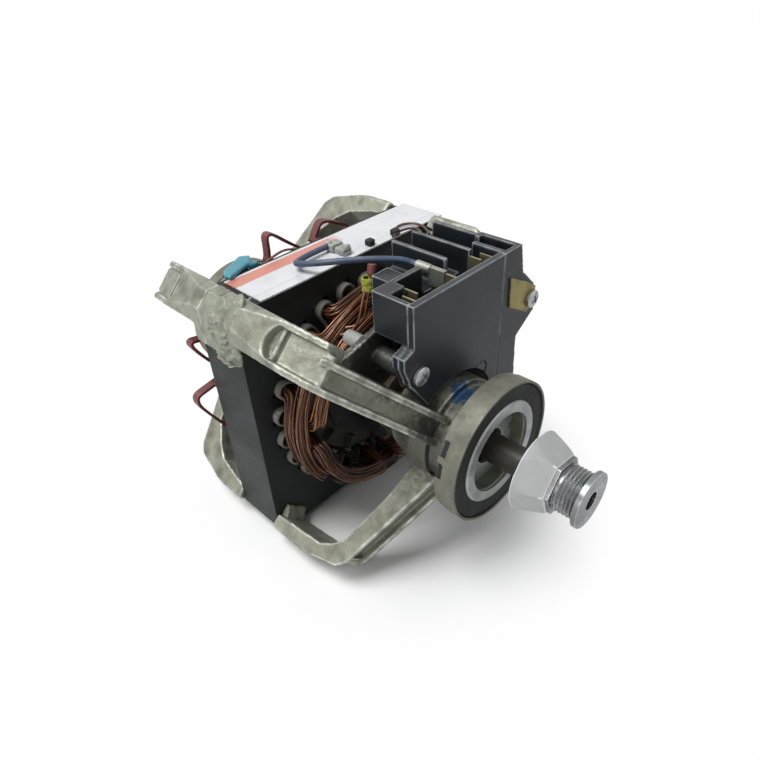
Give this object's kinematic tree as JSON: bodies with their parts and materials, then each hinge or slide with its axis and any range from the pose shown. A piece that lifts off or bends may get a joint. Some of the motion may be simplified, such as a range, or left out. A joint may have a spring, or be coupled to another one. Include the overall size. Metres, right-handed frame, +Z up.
{
  "type": "dryer motor",
  "caption": "Open-frame clothes-dryer motor: square stator between cast four-arm frames, resilient end rings, centrifugal switch block, belt pulley and a threaded fan shaft",
  "frame": {"origin": "centre of the front mounting ring, on the shaft axis", "axes": "+X along the shaft towards the belt pulley, +Z up with the switch block above the shaft, +Y to the switch block's screw ear side"},
  "size_m": [0.2591, 0.1357, 0.1382],
  "materials": {
    "lamination": "dark satin varnish",
    "casting": "rough cast",
    "adhesive": "dull cured bond",
    "liner": "matt film",
    "copper": "enamelled",
    "ring_band": "dull plated",
    "ring_rubber": "moulded",
    "ring_core": "plated",
    "bronze": "sintered",
    "felt": "oiled felt",
    "bright_steel": "turned bright",
    "dark_steel": "ground, oiled",
    "rotor_steel": "laminated",
    "rotor_cage": "die cast",
    "black_plastic": "moulded, blue-grey sheen",
    "brown_plastic": "moulded phenolic",
    "cover_plastic": "off-white",
    "terminal_brass": "tinned",
    "zinc": "bright zinc",
    "yellow_zinc": "yellow passivated",
    "label": "bare white with a pale red strip",
    "teal_plastic": "moulded",
    "red_insulation": "woven sleeve",
    "blue_wire": "soft sheath",
    "brown_wire": "soft sheath",
    "pale_plastic": "moulded",
    "tie_plastic": "tape"
  },
  "bodies": {
    "frame": {"stator_core": "lamination", "slot_liners": "liner", "slot_wedges": "liner", "main_coil_1": "copper", "main_coil_2": "copper", "main_coil_3": "copper", "main_coil_4": "copper", "start_coil_1": "copper", "start_coil_2": "copper", "start_coil_3": "copper", "start_coil_4": "copper", "front_end_frame": "casting", "rear_end_frame": "casting", "bond_pads": "adhesive", "front_ring_shell": "ring_band", "front_ring_rubber": "ring_rubber", "front_ring_core": "ring_core", "rear_ring_shell": "ring_band", "rear_ring_rubber": "ring_rubber", "rear_ring_core": "ring_core", "bearings": "bronze", "oil_felts": "felt", "bearing_caps": "bright_steel", "switch_housing": "black_plastic", "switch_cover": "black_plastic", "switch_terminals": "terminal_brass", "switch_contacts": "terminal_brass", "switch_screws": "zinc", "ground_clip": "yellow_zinc", "lever_pin": "bright_steel", "label_plate": "label", "lead_clip": "teal_plastic", "phase_insulators": "red_insulation", "blue_lead": "blue_wire", "thin_leads": "brown_wire", "coil_leads": "copper", "lead_splice": "pale_plastic", "lead_caps": "black_plastic", "lead_sleeve": "red_insulation", "lead_tie": "tie_plastic", "lead_terminal": "terminal_brass", "splice_cap": "pale_plastic"},
    "rotor": {"shaft": "dark_steel", "rotor_core": "rotor_steel", "rotor_end_rings": "rotor_cage", "pulley": "bright_steel", "hub_cover": "cover_plastic", "thrust_washers": "bright_steel", "governor_plate": "rotor_steel", "governor_spring": "dark_steel", "weight_pins": "bright_steel"},
    "collar": {"governor_collar": "brown_plastic"},
    "weight_a": {"governor_weight_a": "dark_steel"},
    "weight_b": {"governor_weight_b": "dark_steel"},
    "lever": {"switch_lever": "brown_plastic"}
  },
  "joints": [
    {"name": "rotor_spin", "type": "hinge", "parent": "frame", "child": "rotor", "pos_m": [0, 0, 0], "axis": [1, 0, 0], "continuous": true},
    {"name": "collar_slide", "type": "slide", "parent": "rotor", "child": "collar", "axis": [1, 0, 0], "range_m": [-0.003, 0]},
    {"name": "weight_a_swing", "type": "hinge", "parent": "rotor", "child": "weight_a", "pos_m": [-0.057, 0, 0.0185], "axis": [0, 1, 0], "range_deg": [0, 24.2]},
    {"name": "weight_b_swing", "type": "hinge", "parent": "rotor", "child": "weight_b", "pos_m": [-0.057, 0, -0.0185], "axis": [0, -1, 0], "range_deg": [0, 24.2]},
    {"name": "lever_swing", "type": "hinge", "parent": "frame", "child": "lever", "pos_m": [-0.045, 0, 0.032], "axis": [0, 1, 0], "range_deg": [0, 8.5]}
  ],
  "couplings": [
    {"joint": "weight_a_swing", "follows": "collar_slide", "rad_per_m": -140},
    {"joint": "weight_b_swing", "follows": "collar_slide", "rad_per_m": -140},
    {"joint": "lever_swing", "follows": "collar_slide", "rad_per_m": -49}
  ]
}
